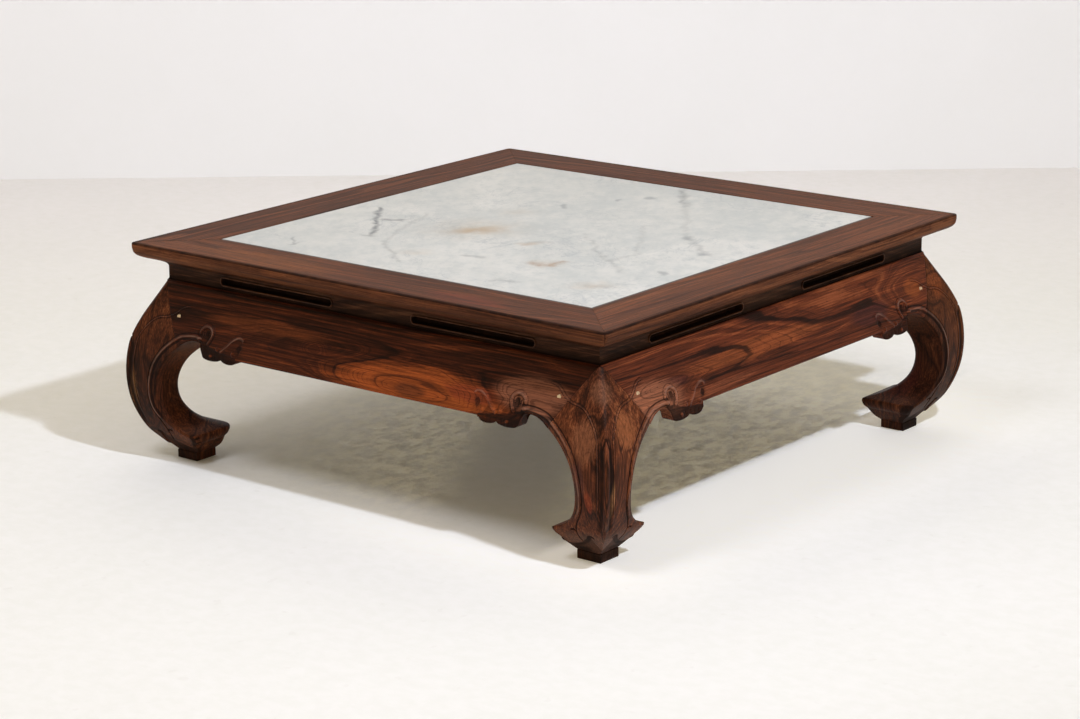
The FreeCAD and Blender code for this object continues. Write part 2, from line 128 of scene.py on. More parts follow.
class Bench:
    """Where one material, or the world, is put together."""

    def __init__(self, name, owner=None):
        self.owner = owner or bpy.data.materials.new(name)
        self.owner.use_nodes = True
        self.tree = self.owner.node_tree
        self.tree.nodes.clear()

    def add(self, kind, settings, sockets, output=0):
        node = self.tree.nodes.new(kind)
        for key, setting in settings.items():
            setattr(node, key, setting)
        for key, given in sockets.items():
            if isinstance(given, Reading):
                self.tree.links.new(given.socket, node.inputs[key])
            else:
                node.inputs[key].default_value = given
        return Reading(self, node.outputs[output]) if len(node.outputs) else node

    def maths(self, operation, *numbers):
        return self.add("ShaderNodeMath", {"operation": operation}, dict(enumerate(numbers)))

    def vectors(self, operation, *given):
        output = "Value" if operation in ("DOT_PRODUCT", "DISTANCE", "LENGTH") else "Vector"
        return self.add("ShaderNodeVectorMath", {"operation": operation}, dict(enumerate(given)), output)

    def place(self):
        return self.add("ShaderNodeTexCoord", {}, {}, "Object")

    def part(self, vector, axis):
        return self.add("ShaderNodeSeparateXYZ", {}, {0: vector}, axis)

    def stretched(self, vector, stretch, move=(0, 0, 0)):
        return self.add("ShaderNodeMapping", {}, {"Vector": vector, "Scale": stretch, "Location": move})

    def noise(self, vector, scale, detail=2, roughness=0.5, distortion=0, output=0):
        sockets = {"Vector": vector, "Scale": scale, "Detail": detail, "Roughness": roughness, "Distortion": distortion}
        return self.add("ShaderNodeTexNoise", {}, sockets, output)

    def noise_along(self, number, scale, detail):
        sockets = {"W": number, "Scale": scale, "Detail": detail}
        return self.add("ShaderNodeTexNoise", {"noise_dimensions": "1D"}, sockets)

    def between(self, number, low, high, at_low=0, at_high=1):
        sockets = {0: number, 1: low, 2: high, 3: at_low, 4: at_high}
        return self.add("ShaderNodeMapRange", {"interpolation_type": "SMOOTHSTEP"}, sockets)

    def ramp(self, number, stops):
        made = self.add("ShaderNodeValToRGB", {}, {0: number})
        elements = made.socket.node.color_ramp.elements
        while len(elements) < len(stops):
            elements.new(1)
        for element, (place, colour) in zip(elements, stops):
            element.position = place
            element.color = paint(*colour)
        return made

    def blend(self, factor, first, second, how="MIX"):
        settings = {"data_type": "RGBA", "blend_type": how, "clamp_factor": True}
        return self.add("ShaderNodeMix", settings, {0: factor, 6: first, 7: second}, 2)

    def tint(self, factor, tone, *colour):
        return self.blend(factor, tone, paint(*colour))

    def bump(self, height, distance, strength):
        return self.add("ShaderNodeBump", {}, {"Height": height, "Distance": distance, "Strength": strength})

    def finish(self, sockets):
        shader = self.add("ShaderNodeBsdfPrincipled", {}, sockets)
        self.add("ShaderNodeOutputMaterial", {}, {0: shader})
        return self.owner


def paint(red, green, blue, dim=1):
    """A colour read off a chart, 0 to 255, as the shader needs it."""
    shares = [part / 255 for part in (red, green, blue)]
    linear = [share / 12.92 if share < 0.04045 else ((share + 0.055) / 1.055) ** 2.4 for share in shares]
    return (*[part * dim for part in linear], 1)


print("a mid brown is", [round(part, 3) for part in paint(108, 72, 55)])

# %% [markdown]
# ## Floor, backdrop and light
#
# The table stands in a plain studio: a pale floor that meets a pale wall about two metres behind it. The two shadows
# on the photographed floor were traced back along the edges that cast them. They lead to a small lamp in front of the
# table, above head height, and to a broad one high up on the left. The rest is slightly warm light from the world,
# stronger near the horizon, so that it reaches under the table. Together they light a white sheet on the floor just
# below white, so a colour renders about as it is written. The far floor and the wall would still come out too grey,
# and so would the worn floor in the shadow under the table and the open floor beside that shadow. They get painted
# light: a faint glow that only the camera and mirrored or refracted rays see, so it adds no light to the table. It
# leaves out a strip on the left of the front leg, where both lamps and most of the room are hidden.

# %% Floor and wall
no_glow = (0, 0, 0, 1)


def stage_sheet(name, corners, colour, roughness, scuff, shade_glow, open_glow, far_glow):
    sheet = bmesh.new()
    sheet.faces.new([sheet.verts.new(corner) for corner in corners])
    mesh = bpy.data.meshes.new(name)
    sheet.to_mesh(mesh)
    sheet.free()
    bench = Bench(name)
    place = bench.place()
    cloud = bench.noise(place, 2.3, 4)
    scuffed = bench.between(bench.noise(bench.stretched(place, (46, 30, 30)), 1, 6, 0.7), 0.35, 0.65)
    speck = bench.between(bench.noise(place, 34, 2), 0.68, 0.73)
    dulled = [part - fall for part, fall in zip(colour, (22, 19, 27))]
    tone = bench.tint(cloud * 0.3 + scuffed * scuff, paint(*colour), *dulled)
    tone = bench.tint(speck * (scuff * 0.5), tone, 190, 182, 170)
    x, y = bench.part(place, "X"), bench.part(place, "Y")
    depth = bench.vectors("DOT_PRODUCT", place, level_ahead)
    # Painted light: the glow lightens the shadow under the table unevenly, after the floor's worn pattern, and lights
    # the open floor beside that shadow and the far floor. Only the camera and mirrored or refracted rays see it.
    wear_and_painted_light = bench.between(bench.noise(bench.stretched(place, (30, 44, 30)), 1, 5, 0.75), 0.38, 0.62)
    wear_and_painted_light = wear_and_painted_light * bench.between(depth, -1, -0.5)
    along_leg = bench.vectors("DOT_PRODUCT", place, (0.87, 0.49, 0))
    aside_leg = bench.maths("ABSOLUTE", bench.vectors("DOT_PRODUCT", place, (-0.49, 0.87, 0)) - 0.03)
    under = bench.between(bench.vectors("DISTANCE", place, (0.10, -0.14, 0)), 0.76, 0.34)
    under = under * (1 - bench.between(aside_leg, 0.17, 0.05) * bench.between(along_leg, 0.42, 0.12))
    shaded = bench.between(y, -0.365, -0.335) * bench.between(x, -0.54, -0.42)
    glowing = bench.blend((under * 0.92 + 0.08) * (wear_and_painted_light * 0.9 + 0.16) * shaded, no_glow, shade_glow)
    beside_shade = bench.between(y, -0.75, -0.40) * bench.between(x, -0.76, -0.40)
    near = bench.between(bench.vectors("DISTANCE", place, (0, -0.35, 0)), 0.95, 0.45)
    glowing = bench.blend((1 - shaded) * near * beside_shade, glowing, open_glow)
    glowing = bench.blend(bench.between(depth, 0.6, 2.28), glowing, far_glow)
    camera_ray, glossy_ray, clear_ray = (bench.add("ShaderNodeLightPath", {}, {}, "Is %s Ray" % kind)
                                         for kind in ("Camera", "Glossy", "Transmission"))
    glowing = bench.blend(camera_ray + glossy_ray + clear_ray, no_glow, glowing)
    mesh.materials.append(bench.finish({"Base Color": tone, "Roughness": roughness, "Emission Color": glowing,
                                        "Emission Strength": 1}))
    linked(name, mesh)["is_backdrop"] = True


level_ahead = Vector((math.cos(yaw), math.sin(yaw), 0))
wall_foot = Vector((camera_place.x, camera_place.y, 0)) + level_ahead * 7
near_foot = wall_foot - level_ahead * 16
aside = level_right * 12
wall_rise = Vector((0, 0, 6))
floor_corners = (near_foot - aside, near_foot + aside, wall_foot + aside, wall_foot - aside)
wall_corners = (wall_foot - aside, wall_foot + aside, wall_foot + aside + wall_rise, wall_foot - aside + wall_rise)
stage_sheet("floor", floor_corners, (248, 246, 243), 0.8, 0.16, (0.125, 0.108, 0.064, 1), (0.23, 0.205, 0.162, 1),
            (0.025, 0.018, 0.055, 1))
stage_sheet("wall", wall_corners, (244, 243, 242), 0.9, 0.02, no_glow, no_glow, (0.038, 0.041, 0.080, 1))
print("wall foot at", [round(value, 2) for value in wall_foot])

# %% Lamps and world
def lamp(name, place, aim, size, watts, colour):
    light = bpy.data.lights.new(name, "AREA")
    light.shape = "DISK"
    light.size = size
    light.energy = watts
    light.color = colour
    hung = linked(name, light)
    hung.location = place
    hung.rotation_euler = (Vector(aim) - Vector(place)).to_track_quat("-Z", "Y").to_euler()


lamp("front_lamp", (-0.76, -2.16, 2.43), (-0.51, -1.19, 2.43), 0.18, 89, (0.92, 1, 1.2))
lamp("high_lamp", (-2.4, 0.2, 4), (0, 0.4, 0.3), 1.3, 46, (0.99, 0.99, 1.08))
world = bpy.data.worlds.new("studio")
sky = Bench("studio", world)
height = sky.part(sky.add("ShaderNodeTexCoord", {}, {}, "Generated"), "Z")
glow = sky.blend(sky.between(height, 0.05, 0.55), (1, 0.86, 0.58, 1), (0.64, 0.55, 0.38, 1))
glow = sky.add("ShaderNodeBackground", {}, {"Color": glow, "Strength": 0.66})
sky.add("ShaderNodeOutputWorld", {}, {0: glow})
bpy.context.scene.world = world
bpy.context.scene.view_settings.view_transform = "Standard"

# %% [markdown]
# ## The figured hardwood
#
# The table is of a dark rosewood with nearly black streaks that run with the grain, bow round knots and open into
# orange flames. On a real board these are the tree's rings, cut at a slant, so they are contour lines of a smooth
# surface. The material works the same way: a field rises steadily across the grain and waves a little along it, a few
# knots bend it, and thin dark rings are laid along its contours. Fine fibres and short dark pores lie over that. All
# of it reads Object coordinates, so the figure runs through the wood like the real thing.

# %% Wood
def rounded_spot(bench, place, middle, reach, core=0):
    """How near a point is to a spot, 1 in its core and 0 at its rim. The spot is given in millimetres."""
    moved = bench.vectors("SUBTRACT", place, Vector(middle) / 1000)
    shrunk = bench.vectors("DIVIDE", moved, Vector(reach) / 1000)
    return bench.between(bench.vectors("LENGTH", shrunk), 1, core)


def rosewood(name, grain, palette, seed, knots=(), patches=(), lean=(0.8, 0.8, 3), ring_share=1, gloss=0.42,
             shine=0.15, carved=True, cross=10, long=1.2, dim=1):
    """Rosewood with its grain along an axis, its own palette, knots that bend the rings and patches of other tones."""
    bench = Bench(name)
    place = bench.place()
    shift = (seed * 1.37, seed * 2.11, seed * 0.73)

    def drawn(across, along, move=(0, 0, 0)):
        return bench.stretched(place, [along if axis == grain else across for axis in "xyz"], move)

    ripple = bench.noise(drawn(60, 14, shift), 1, 3, output="Color")
    bent = bench.vectors("MULTIPLY_ADD", ripple, (0.01, 0.01, 0.01), place)
    slope = bench.vectors("DOT_PRODUCT", bent, lean)
    field = bench.noise(drawn(cross, long, shift), 1, 2, 0.45, 0.3) * 0.75 + slope
    for middle, reach, strength in knots:
        field = field + rounded_spot(bench, bent, middle, reach, 0.15) * strength
    rings = bench.noise_along(field, 24, 3)
    fine_rings = bench.noise_along(field, 110, 2)
    fibres = bench.noise(drawn(420, 9), 1, 4, 0.65)
    pores = bench.between(bench.noise(drawn(800, 42, shift), 1, 2, 0.6), 0.60, 0.70)
    broad = bench.noise(drawn(cross * 0.6, long * 1.2, shift), 1, 3)
    mixed = rings * 0.36 + broad * 0.34 + fibres * 0.30
    tone = bench.ramp(mixed, [(at, (*shade, dim)) for at, shade in zip((0.39, 0.47, 0.54, 0.62), palette)])
    for middle, reach, colour, strength in patches:
        mask = rounded_spot(bench, bent, middle, reach)
        edge = bench.between(mask + (rings - 0.5) * 0.5 + (broad - 0.5) * 0.6 + (fibres - 0.5) * 0.3, 0.10, 0.60)
        tone = bench.tint(edge * strength, tone, *colour)
    here = bench.between(bench.noise(drawn(cross * 0.8, long * 2, (shift[1], shift[2], shift[0])), 1, 2), 0.40, 0.62)
    streaks = bench.between(rings + (fibres - 0.5) * 0.12, 0.42, 0.30) * (here * 0.8 + 0.2)
    tone = bench.tint(streaks * (0.75 * ring_share), tone, 22, 10, 9)
    fine_streaks = bench.between(fine_rings + (fibres - 0.5) * 0.2, 0.46, 0.34)
    tone = bench.tint(fine_streaks * (0.42 * ring_share), tone, 30, 13, 10)
    grey_fibre = bench.ramp(bench.between(fibres, 0.32, 0.72), [(0, (84, 82, 82)), (1, (214, 204, 196))])
    tone = bench.blend(0.50, tone, grey_fibre, "OVERLAY")
    mottle = bench.ramp(bench.noise(place, 170, 3, 0.6), [(0.35, (158, 156, 156)), (0.65, (212, 208, 204))])
    tone = bench.blend(0.22, tone, mottle, "OVERLAY")
    tone = bench.tint(pores * 0.62, tone, 16, 8, 7)
    rough = 0.60 - gloss * 0.45 + fibres * 0.16
    # The 'carved' attribute paints the look: cuts go dark, for grime and painted shade, and crests go pale, for wear
    # and a painted highlight.
    if carved:
        depth = bench.add("ShaderNodeAttribute", {"attribute_name": "carved"}, {}, "Fac")
        cut = bench.between(depth, -0.05, -0.7)
        patchy_wear_and_highlight = bench.between(bench.noise(place, 48, 3), 0.36, 0.62, 0.35, 1)
        wear_and_painted_light = bench.between(depth, 0.50, 1) * patchy_wear_and_highlight
        grime_and_shade = bench.between(bench.noise(place, 55, 3), 0.25, 0.7, 0.7, 1)
        tone = bench.tint(cut * grime_and_shade * 0.9, tone, 16, 8, 7)
        tone = bench.tint(wear_and_painted_light * 0.40, tone, 144, 108, 92)
        rough = rough + cut * 0.2 - wear_and_painted_light * 0.10
    normal = bench.bump(fibres * 0.35 - pores * 0.5, 0.00022, 0.6)
    return bench.finish({"Base Color": tone, "Roughness": rough, "Normal": normal, "Specular IOR Level": shine,
                         "Specular Tint": (1, 0.85, 0.68, 1)})


deep_brown = ((30, 11, 6), (53, 22, 11), (74, 33, 17), (104, 52, 26))
red_brown = ((48, 21, 13), (82, 39, 24), (104, 51, 30), (134, 72, 42))
leg_brown = ((40, 19, 10), (68, 34, 19), (94, 50, 29), (126, 74, 44))
waist_brown = ((32, 17, 10), (50, 28, 18), (64, 38, 24), (84, 54, 36))
top_brown = ((68, 36, 20), (90, 51, 30), (106, 62, 38), (124, 76, 48))
inner_brown = ((60, 34, 24), (84, 50, 36), (98, 60, 43), (112, 72, 52))
peg_pale = ((190, 168, 130), (206, 186, 148), (214, 196, 160), (222, 206, 172))
print("palettes ready")

# %% [markdown]
# ## One template for legs and aprons
#
# The maker draws one curve for the leg's outer side and cuts the bulge of the aprons to the same curve, so that they
# flow into each other at the corner. A second curve is the leg's inner side, from the arch down to the toe. Both are
# kept here as short lists of points and drawn smooth with Blender's own Bezier helper.

# %% Templates
def smooth_through(points, steps=14):
    """Points close together on the smooth curve through a template's points."""
    knots = [Vector(point) for point in points]
    line = []
    for index, (start, end) in enumerate(zip(knots, knots[1:])):
        pull = (end - knots[max(index - 1, 0)]) / 6
        push = (knots[min(index + 2, len(knots) - 1)] - start) / 6
        line += interpolate_bezier(start, start + pull, end - push, end, steps + 1)[:-1]
    return [tuple(point) for point in (*line, knots[-1])]


top_edge = 313
seam_foot, seam_top = (392, 215), (457, top_edge)
outer_points = ((461.3, 310), (470.5, 293), (492.5, 250), (507, 204), (512, 152), (507, 104), (491.5, 60),
                (470.5, 32), (455.6, 14.5))
inner_points = ((392, 215), (415, 197), (434, 173), (444, 148), (446.5, 124), (441.9, 100), (430, 80), (411, 65),
                (387, 55.5))
toe_points = ((387, 55.5), (384.4, 53.6), (384.2, 48.5), (386.6, 41.8), (391.5, 36.5))
sole_points = ((391.5, 36.5), (400.5, 23), (409.5, 14.5))
outer_curve = np.vstack(([(458, 313)], smooth_through(outer_points)))
inner_curve = np.vstack((smooth_through(inner_points), smooth_through(toe_points)[1:], smooth_through(sole_points)[1:]))


def outer_at(height):
    """How far out the bulged face is at a height."""
    return np.interp(height, outer_curve[::-1, 1], outer_curve[::-1, 0])


def inner_at(height):
    """How far out the leg's inner side is at a height: the seam with the apron above its foot, the curve below."""
    seam = seam_foot[0] + (height - seam_foot[1]) * (seam_top[0] - seam_foot[0]) / (seam_top[1] - seam_foot[1])
    return np.where(height > seam_foot[1], seam, np.interp(height, inner_curve[::-1, 1], inner_curve[::-1, 0]))


print("belly %.1f mm out, leg %.1f mm wide under the arch" % (outer_curve[:, 0].max(), outer_at(124) - inner_at(124)))

# %% [markdown]
# ## The carving
#
# Everything carved on a face is described by lines drawn on it, in millimetres across from the table's middle and up
# from the floor, as a carver pricks them through a paper pattern. A stroke raises or sinks the surface near its line.
# The same pattern is used for aprons and legs, so a line that starts on an apron carries on down the leg. It also
# gives each point a painted look: darker in cuts, for dirt and painted shade, and paler on crests, for wear and a
# painted highlight.

# %% Distance to a drawn line
def beside(across, up, line):
    """Distance to a line, negative on its left, how far along it that is, and its length."""
    nearest = np.full(across.shape, 1e9)
    signed = np.zeros(across.shape)
    along = np.zeros(across.shape)
    travelled = 0
    for (x0, z0), (x1, z1) in zip(line, line[1:]):
        run_x, run_z = x1 - x0, z1 - z0
        length = math.hypot(run_x, run_z)
        share = np.clip(((across - x0) * run_x + (up - z0) * run_z) / length ** 2, 0, 1)
        gap_x = across - x0 - share * run_x
        gap_z = up - z0 - share * run_z
        gap = np.hypot(gap_x, gap_z)
        closer = gap < nearest
        side = np.where(run_x * gap_z - run_z * gap_x > 0, -1, 1)
        nearest = np.where(closer, gap, nearest)
        signed = np.where(closer, side * gap, signed)
        along = np.where(closer, travelled + share * length, along)
        travelled += length
    return signed, along, travelled


def swell(share):
    """A smooth step from 0 to 1."""
    share = np.clip(share, 0, 1)
    return share * share * (3 - 2 * share)


def close(gap, width):
    """1 on a line, falling smoothly to 0 at a width from it."""
    return swell(1 - np.abs(gap) / width)


def dome(share):
    """The height of a half circle, 1 in its middle and 0 from its rim on."""
    return np.sqrt(np.clip(1 - share ** 2, 0, 1))


def stroke(across, up, line, width, height, fade=5):
    """A half-round stroke along a line, raised or sunk, that dies out at both ends."""
    gap, along, length = beside(across, up, line)
    ends = np.minimum(swell(along / fade + 0.25), swell((length - along) / fade + 0.25))
    return height * dome(2 * gap / width) * ends


print("a stroke 4 mm wide and 1 mm high, 1 mm off its line: %.2f" %
      stroke(np.array([5]), np.array([1]), ((0, 0), (10, 0)), 4, 1)[0])

# %% The pattern's lines
apron_edge = 219
bracket_edge = [(0, apron_edge), (200, apron_edge), (256.5, apron_edge), (257, 212)]
bracket_edge += smooth_through(((257, 212), (263, 205.5), (275, 203.3), (287, 205), (293, 208.5)), 6)[1:]
bracket_edge += smooth_through(((293, 208.5), (300, 205), (314, 203.4), (329, 204.6), (335.5, 208), (337.5, 214),
                                (339, 222), (344, 228)), 6)[1:]
arch_crown = smooth_through(((344, 228), (355, 229), (367, 228), (380, 223), (392, 215)), 8)[1:]
leg_edge = smooth_through(inner_points, 4)[1:] + smooth_through(toe_points, 4)[1:]
lower_edge = bracket_edge + arch_crown + leg_edge
arch_start = sum(math.dist(first, second) for first, second in zip(bracket_edge, bracket_edge[1:])) - 8
bead_border = smooth_through(
    ((337, 239.5), (350, 241), (370, 240), (389, 235.5), (405, 226), (424, 211), (440, 193),
     (451.5, 172), (458.5, 148), (461, 126), (458.5, 104), (451, 88), (443.5, 77), (437.5, 64),
     (435.5, 52), (437.5, 42)), 4)
falling = [(float(outer_at(height)) - 18, height) for height in (204, 190, 170, 150, 130, 110, 96, 84)]
double_line = smooth_through(
    ((376, 280), (390, 279), (401, 274.5), (414, 265), (428, 258.5), (444, 256), (456, 251),
     (468.6, 240.7), (480, 227), (487, 214), *falling), 4)
hoof_crease = smooth_through(
    ((381, 43.5), (384.3, 35.6), (392.4, 29.4), (406.6, 27), (424.7, 30.5), (437.8, 36.4), (451.5, 45.9),
     (457.5, 53.1), (463, 54), (468.5, 50.5)), 4)
arris_notch = ((float(outer_at(201)) - 8, 201), (float(outer_at(218)), 219))
toe_crescent = ((426, 60), (433, 62.5), (437, 58))
leaf = smooth_through(
    ((325.5, 229), (320.5, 237), (317.5, 246), (320.5, 253), (328, 256.8), (336.5, 256), (343, 250.5),
     (345.5, 243.5)), 5)
leaf_pit = ((329, 250.5), (329, 235.5))
comma = smooth_through(
    ((244, 243), (250, 248.5), (259, 248.5), (271, 241.5), (280, 232.5), (289, 225.5), (295, 219.5)), 5)
comma_pit = ((250, 237), (257, 229))
leaf_flutes = (((323, 236), (322, 245)), ((335.5, 238), (336.5, 248)), ((340, 238), (341.5, 245)))
ledge = smooth_through(
    ((256, 214.5), (266, 216), (290, 219), (305, 220.5), (318, 224), (330, 228.5), (343, 230)), 5)
lobe_strokes = (((272, 213), (275.5, 205)), ((291, 215.5), (297, 208)), ((283, 213), (285, 206)),
                ((319, 217), (330, 222.5), (341, 224.5)), ((306, 216), (304, 207)))
lobe_dots = ((315, 211.8), (301, 224.8), (266, 222), (346, 236.5))
print("the lower edge is %.0f mm long on half a side" % beside(np.zeros(1), np.zeros(1), lower_edge)[2])

# %% Depth of the carving at a point of a face
def carving(across, up):
    """How far the carved face stands proud at each point (mm), and its painted look, from -1, dirt and painted shade in
    a cut, to 1, wear and a painted highlight on a crest.
    """
    edge_gap, edge_run, _ = beside(across, up, lower_edge)
    on_arch = swell((edge_run - arch_start) / 14)
    near_toe = swell((96 - up) / 24)
    soft = 2.5 + 6.5 * on_arch * (1 - 0.55 * near_toe)
    drop = 1.4 + 2.2 * on_arch
    rounding = -drop * (1 - np.sin(0.5 * math.pi * np.clip(np.abs(edge_gap) / soft, 0, 1)))
    border, border_run, _ = beside(across, up, bead_border)
    bead_start = swell(border_run / 3)
    bead = 1.9 * dome((border - 4.2) / 4.2) * bead_start * (1 - near_toe)
    trough = -(0.9 + 0.7 * near_toe) * close(border + 0.9, 1.9) * bead_start
    line_gap, line_run, line_length = beside(across, up, double_line)
    line_gap = np.abs(line_gap)
    line_ends = np.minimum(swell(line_run / 10), swell((line_length - line_run) / 30))
    fillet = 0.75 * dome(line_gap) * line_ends
    grooves = -0.85 * close(line_gap - 1.9, 1.1) * line_ends
    # Painted look: a highlight along the bead's crest with painted shade below it, the toe's rim painted dark as shade
    # under the toe, cuts, grooves and the rounded edge darker for dirt and painted shade, the fillet paler for wear and
    # a painted highlight.
    bead_highlight_and_shade = (1.7 * close(border - 3.4, 2.4) - 0.8 * swell((border - 4.8) / 2) * (border < 9.5)) * bead_start
    toe_rim_shade = 0.8 * close(edge_gap, 4) * swell((56 - up) / 8) * swell((420 - across) / 14)
    look = bead_highlight_and_shade * (1 - near_toe) + trough + fillet / 0.9 + grooves / 0.8 + 0.35 * rounding / drop - toe_rim_shade
    return rounding + bead + trough + fillet + grooves, look


def bracket_carving(across, up):
    """The carving of an apron's bracket: a curled leaf, a comma, and lobes set back under a ledge, with painted shade
    in its hollows and painted highlights on its raised strokes and knobs.
    """
    gap, run, _ = beside(across, up, ledge)
    on_ledge = (across > 250) * (across < 345)
    under = swell(gap / 2 + 0.5) * swell((np.abs(run) - 0.5) / 3) * on_ledge * (up < 231)
    leaf_gap = np.abs(beside(across, up, leaf)[0]) - 3.6
    shaped = -1.3 * under - 0.7 * close(leaf_gap, 1.6) * (run > 2)
    # Painted shade: the lobes under the ledge, a line along the ledge, the ring round the leaf and the whole bracket
    # are painted darker.
    look = -0.45 * under - 0.6 * close(gap, 1.4) * on_ledge - 0.55 * close(leaf_gap, 1.8) * (run > 2)
    look = look - 0.26 * swell((across - 236) / 14) * swell((254 - up) / 16) * swell((352 - across) / 10)
    # Raised strokes get a painted highlight along their middle; pits and fine flutes are painted darker as painted
    # shade.
    for line, width, height in ((leaf, 6, 2.2), (leaf_pit, 9.5, -2.6), (comma, 6.4, 1.9), (comma_pit, 9, -1.8)):
        added = stroke(across, up, line, width, height)
        shaped = shaped + added
        share = added / abs(height)
        look = look + np.where(share > 0, 1.15 * share ** 3, share)
    for line in (*lobe_strokes, *leaf_flutes):
        added = stroke(across, up, line, 2.4, -0.9, 2)
        shaped, look = shaped + added, look + added
    # The knobs get a painted highlight on their tops.
    for x, z in lobe_dots:
        added = dome(np.hypot(across - x, up - z) / 3.8)
        shaped = shaped + 2.2 * added
        look = look + 0.9 * added ** 2
    return shaped, look


def leg_carving(across, up):
    """What the leg's face has beyond the shared pattern: the arris with its coves, and the hoof, with a painted
    highlight along the arris and painted shade in the hollows, on the sole and under the toe.
    """
    from_arris = outer_at(up) - across
    fade = swell((216 - up) / 16) * swell((up - 56) / 26)
    cove = -1.5 * np.sin(math.pi * np.clip((from_arris - 5) / 11, 0, 1)) * fade
    notch = stroke(across, up, arris_notch, 3, -1.2, 2)
    gap, run, length = beside(across, up, hoof_crease)
    before_end = swell((length - run) / 5)
    crease = -2.3 * close(gap, 2.5) * before_end
    below = swell((gap - 0.5) / 2) * swell((length - run) / 16) * (up < 56)
    crescent = stroke(across, up, toe_crescent, 3.2, -1.6, 2)
    # A pale line along the arris is a painted highlight. The coves, notch, crease and crescent are painted darker, for
    # dirt and painted shade, and the zone below the crease, the sole and the low toe are painted shade.
    arris_highlight = (0.55 + 0.45 * swell((104 - up) / 30)) * swell(1 - from_arris / 5) * fade
    look = 0.5 * cove + notch + crease / 1.5 + crescent / 1.6 + arris_highlight - 0.40 * below
    sole_gap = np.abs(beside(across, up, toe_points[1:] + sole_points)[0])
    look = look - 1.3 * swell(1.6 - sole_gap / 4) - 0.3 * swell((30 - up) / 10) * swell((from_arris - 16) / 12)
    look = look - 0.6 * close(gap, 4.2) * before_end
    return cove + notch + crease - 2.6 * below + crescent, look


sample = carving(np.array([448, 451]), np.array([150, 150]))
print("at the bead the face stands", [round(float(value), 2) for value in sample[0]], "mm proud")

# %% [markdown]
# ## Laying a grid over a surface
#
# A carved leg or apron is a smooth form with fine relief. It could be sculpted, or displaced by an image, but neither
# leaves anything that can be read back as sizes. Here one helper asks bmesh for a flat grid and then moves each
# crossing to the place that the piece's own rule gives, so the templates and the carving above shape it directly.
# A grid whose columns go right round is closed by merging its seam, and its two ends are capped.

# %% Helpers for pieces
def laid_grid(columns, rows, rule):
    """A grid whose crossings are placed by a rule, which gives places in millimetres and each one's painted look: dirt
    and painted shade where low, wear and a painted highlight where high.
    """
    sheet = bmesh.new()
    bmesh.ops.create_grid(sheet, x_segments=columns, y_segments=rows, size=0.5)
    spots = np.array([vertex.co[:] for vertex in sheet.verts]) + 0.5
    placed, look = rule(np.rint(spots[:, 0] * columns).astype(int), np.rint(spots[:, 1] * rows).astype(int))
    carved = sheet.verts.layers.float.new("carved")
    for vertex, spot, mark in zip(sheet.verts, placed / 1000, look):
        vertex.co = spot
        vertex[carved] = float(mark)
    return sheet


def closed_up(sheet):
    """Merges a grid's seam, caps its open ends and turns its faces outwards."""
    bmesh.ops.remove_doubles(sheet, verts=sheet.verts, dist=0.00002)
    bmesh.ops.holes_fill(sheet, edges=[edge for edge in sheet.edges if edge.is_boundary], sides=0)
    bmesh.ops.recalc_face_normals(sheet, faces=sheet.faces)
    return sheet


def spun(sheet, axis, degrees, verts=None):
    """Turns a sheet, or some of its vertices, about an axis."""
    turn = Matrix.Rotation(math.radians(degrees), 3, axis)
    bmesh.ops.rotate(sheet, cent=(0, 0, 0), matrix=turn, verts=verts or sheet.verts)


def hung_up(name, sheet, wood, node):
    """Makes a shown piece of a bmesh: smooth but for its creases, riding on the table, in place of its solid."""
    mesh = bpy.data.meshes.new(name)
    sheet.to_mesh(mesh)
    sheet.free()
    mesh.shade_smooth()
    mesh.set_sharp_from_angle(angle=math.radians(35))
    mesh.materials.append(wood)
    piece = linked(name, mesh)
    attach(piece, "root")
    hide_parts(node)
    print(name, "has", sum(len(face.vertices) - 2 for face in mesh.polygons), "triangles")


sides = (("front", "x"), ("right", "y"), ("back", "x"), ("left", "y"))
print("sides, each with its grain's axis:", sides)

# %% [markdown]
# ## Legs
#
# A leg of this kind is sawn from a squared post with the same template on both faces, so at every height its section
# is a square: from the inner curve to the outer one, both ways. It is a stack of such squares from the tip of the
# mitred shoulder down to the pad. Columns stand close together by the arris and along the inner edge, where the
# carving is, and the squares follow each other about every 1.4 mm along the curve. The arris is sharp up to the point
# where its ridge starts and rounder and rounder above it. The inmost corner, which no one looks at, is rounded over
# with a drawknife; on the back left leg the maker took more off the toe.

# %% Squares of the leg
pad_low, pad_high = 409.5, 454.5
trial = np.linspace(top_edge, 14.5, 2400)
pace = np.hypot(np.diff(trial), np.maximum(np.abs(np.diff(inner_at(trial))), np.abs(np.diff(outer_at(trial)))))
reached = np.concatenate(([0], np.cumsum(pace)))
squares = int(reached[-1] / 1.4)
levels = np.interp(np.linspace(0, reached[-1], squares), reached, trial)
inner_side = inner_at(levels)
outer_side = outer_at(levels)
pad_levels = np.array([14.3, 13, 7, 1.2, 0.4, 0])
pad_ease = np.array([0, 0, 0, 0, 0.4, 1.2])
levels = np.concatenate((levels, pad_levels))
inner_side = np.concatenate((inner_side, pad_low + pad_ease))
outer_side = np.concatenate((outer_side, pad_high - pad_ease))
near_arris = np.array([0, 0.5, 1.1, 1.8, 2.8, 3.8, 4.8, 5.8, 7, 8.5, 10, 11.5, 13, 14.5, 15.6, 16.6, 17.4, 18.2, 19.2,
                       20.4, 22, 24])
near_edge = np.array([15.5, 14, 12.6, 11.4, 10.4, 9.4, 8.2, 7, 5.8, 4.6, 3.4, 2.3, 1.3, 0.6, 0])
middle_columns = 54
face_columns = len(near_arris) + middle_columns + len(near_edge)
inner_columns = 8
around = 2 * (face_columns - 1) + 2 * inner_columns
print(len(levels), "squares of", around, "columns")

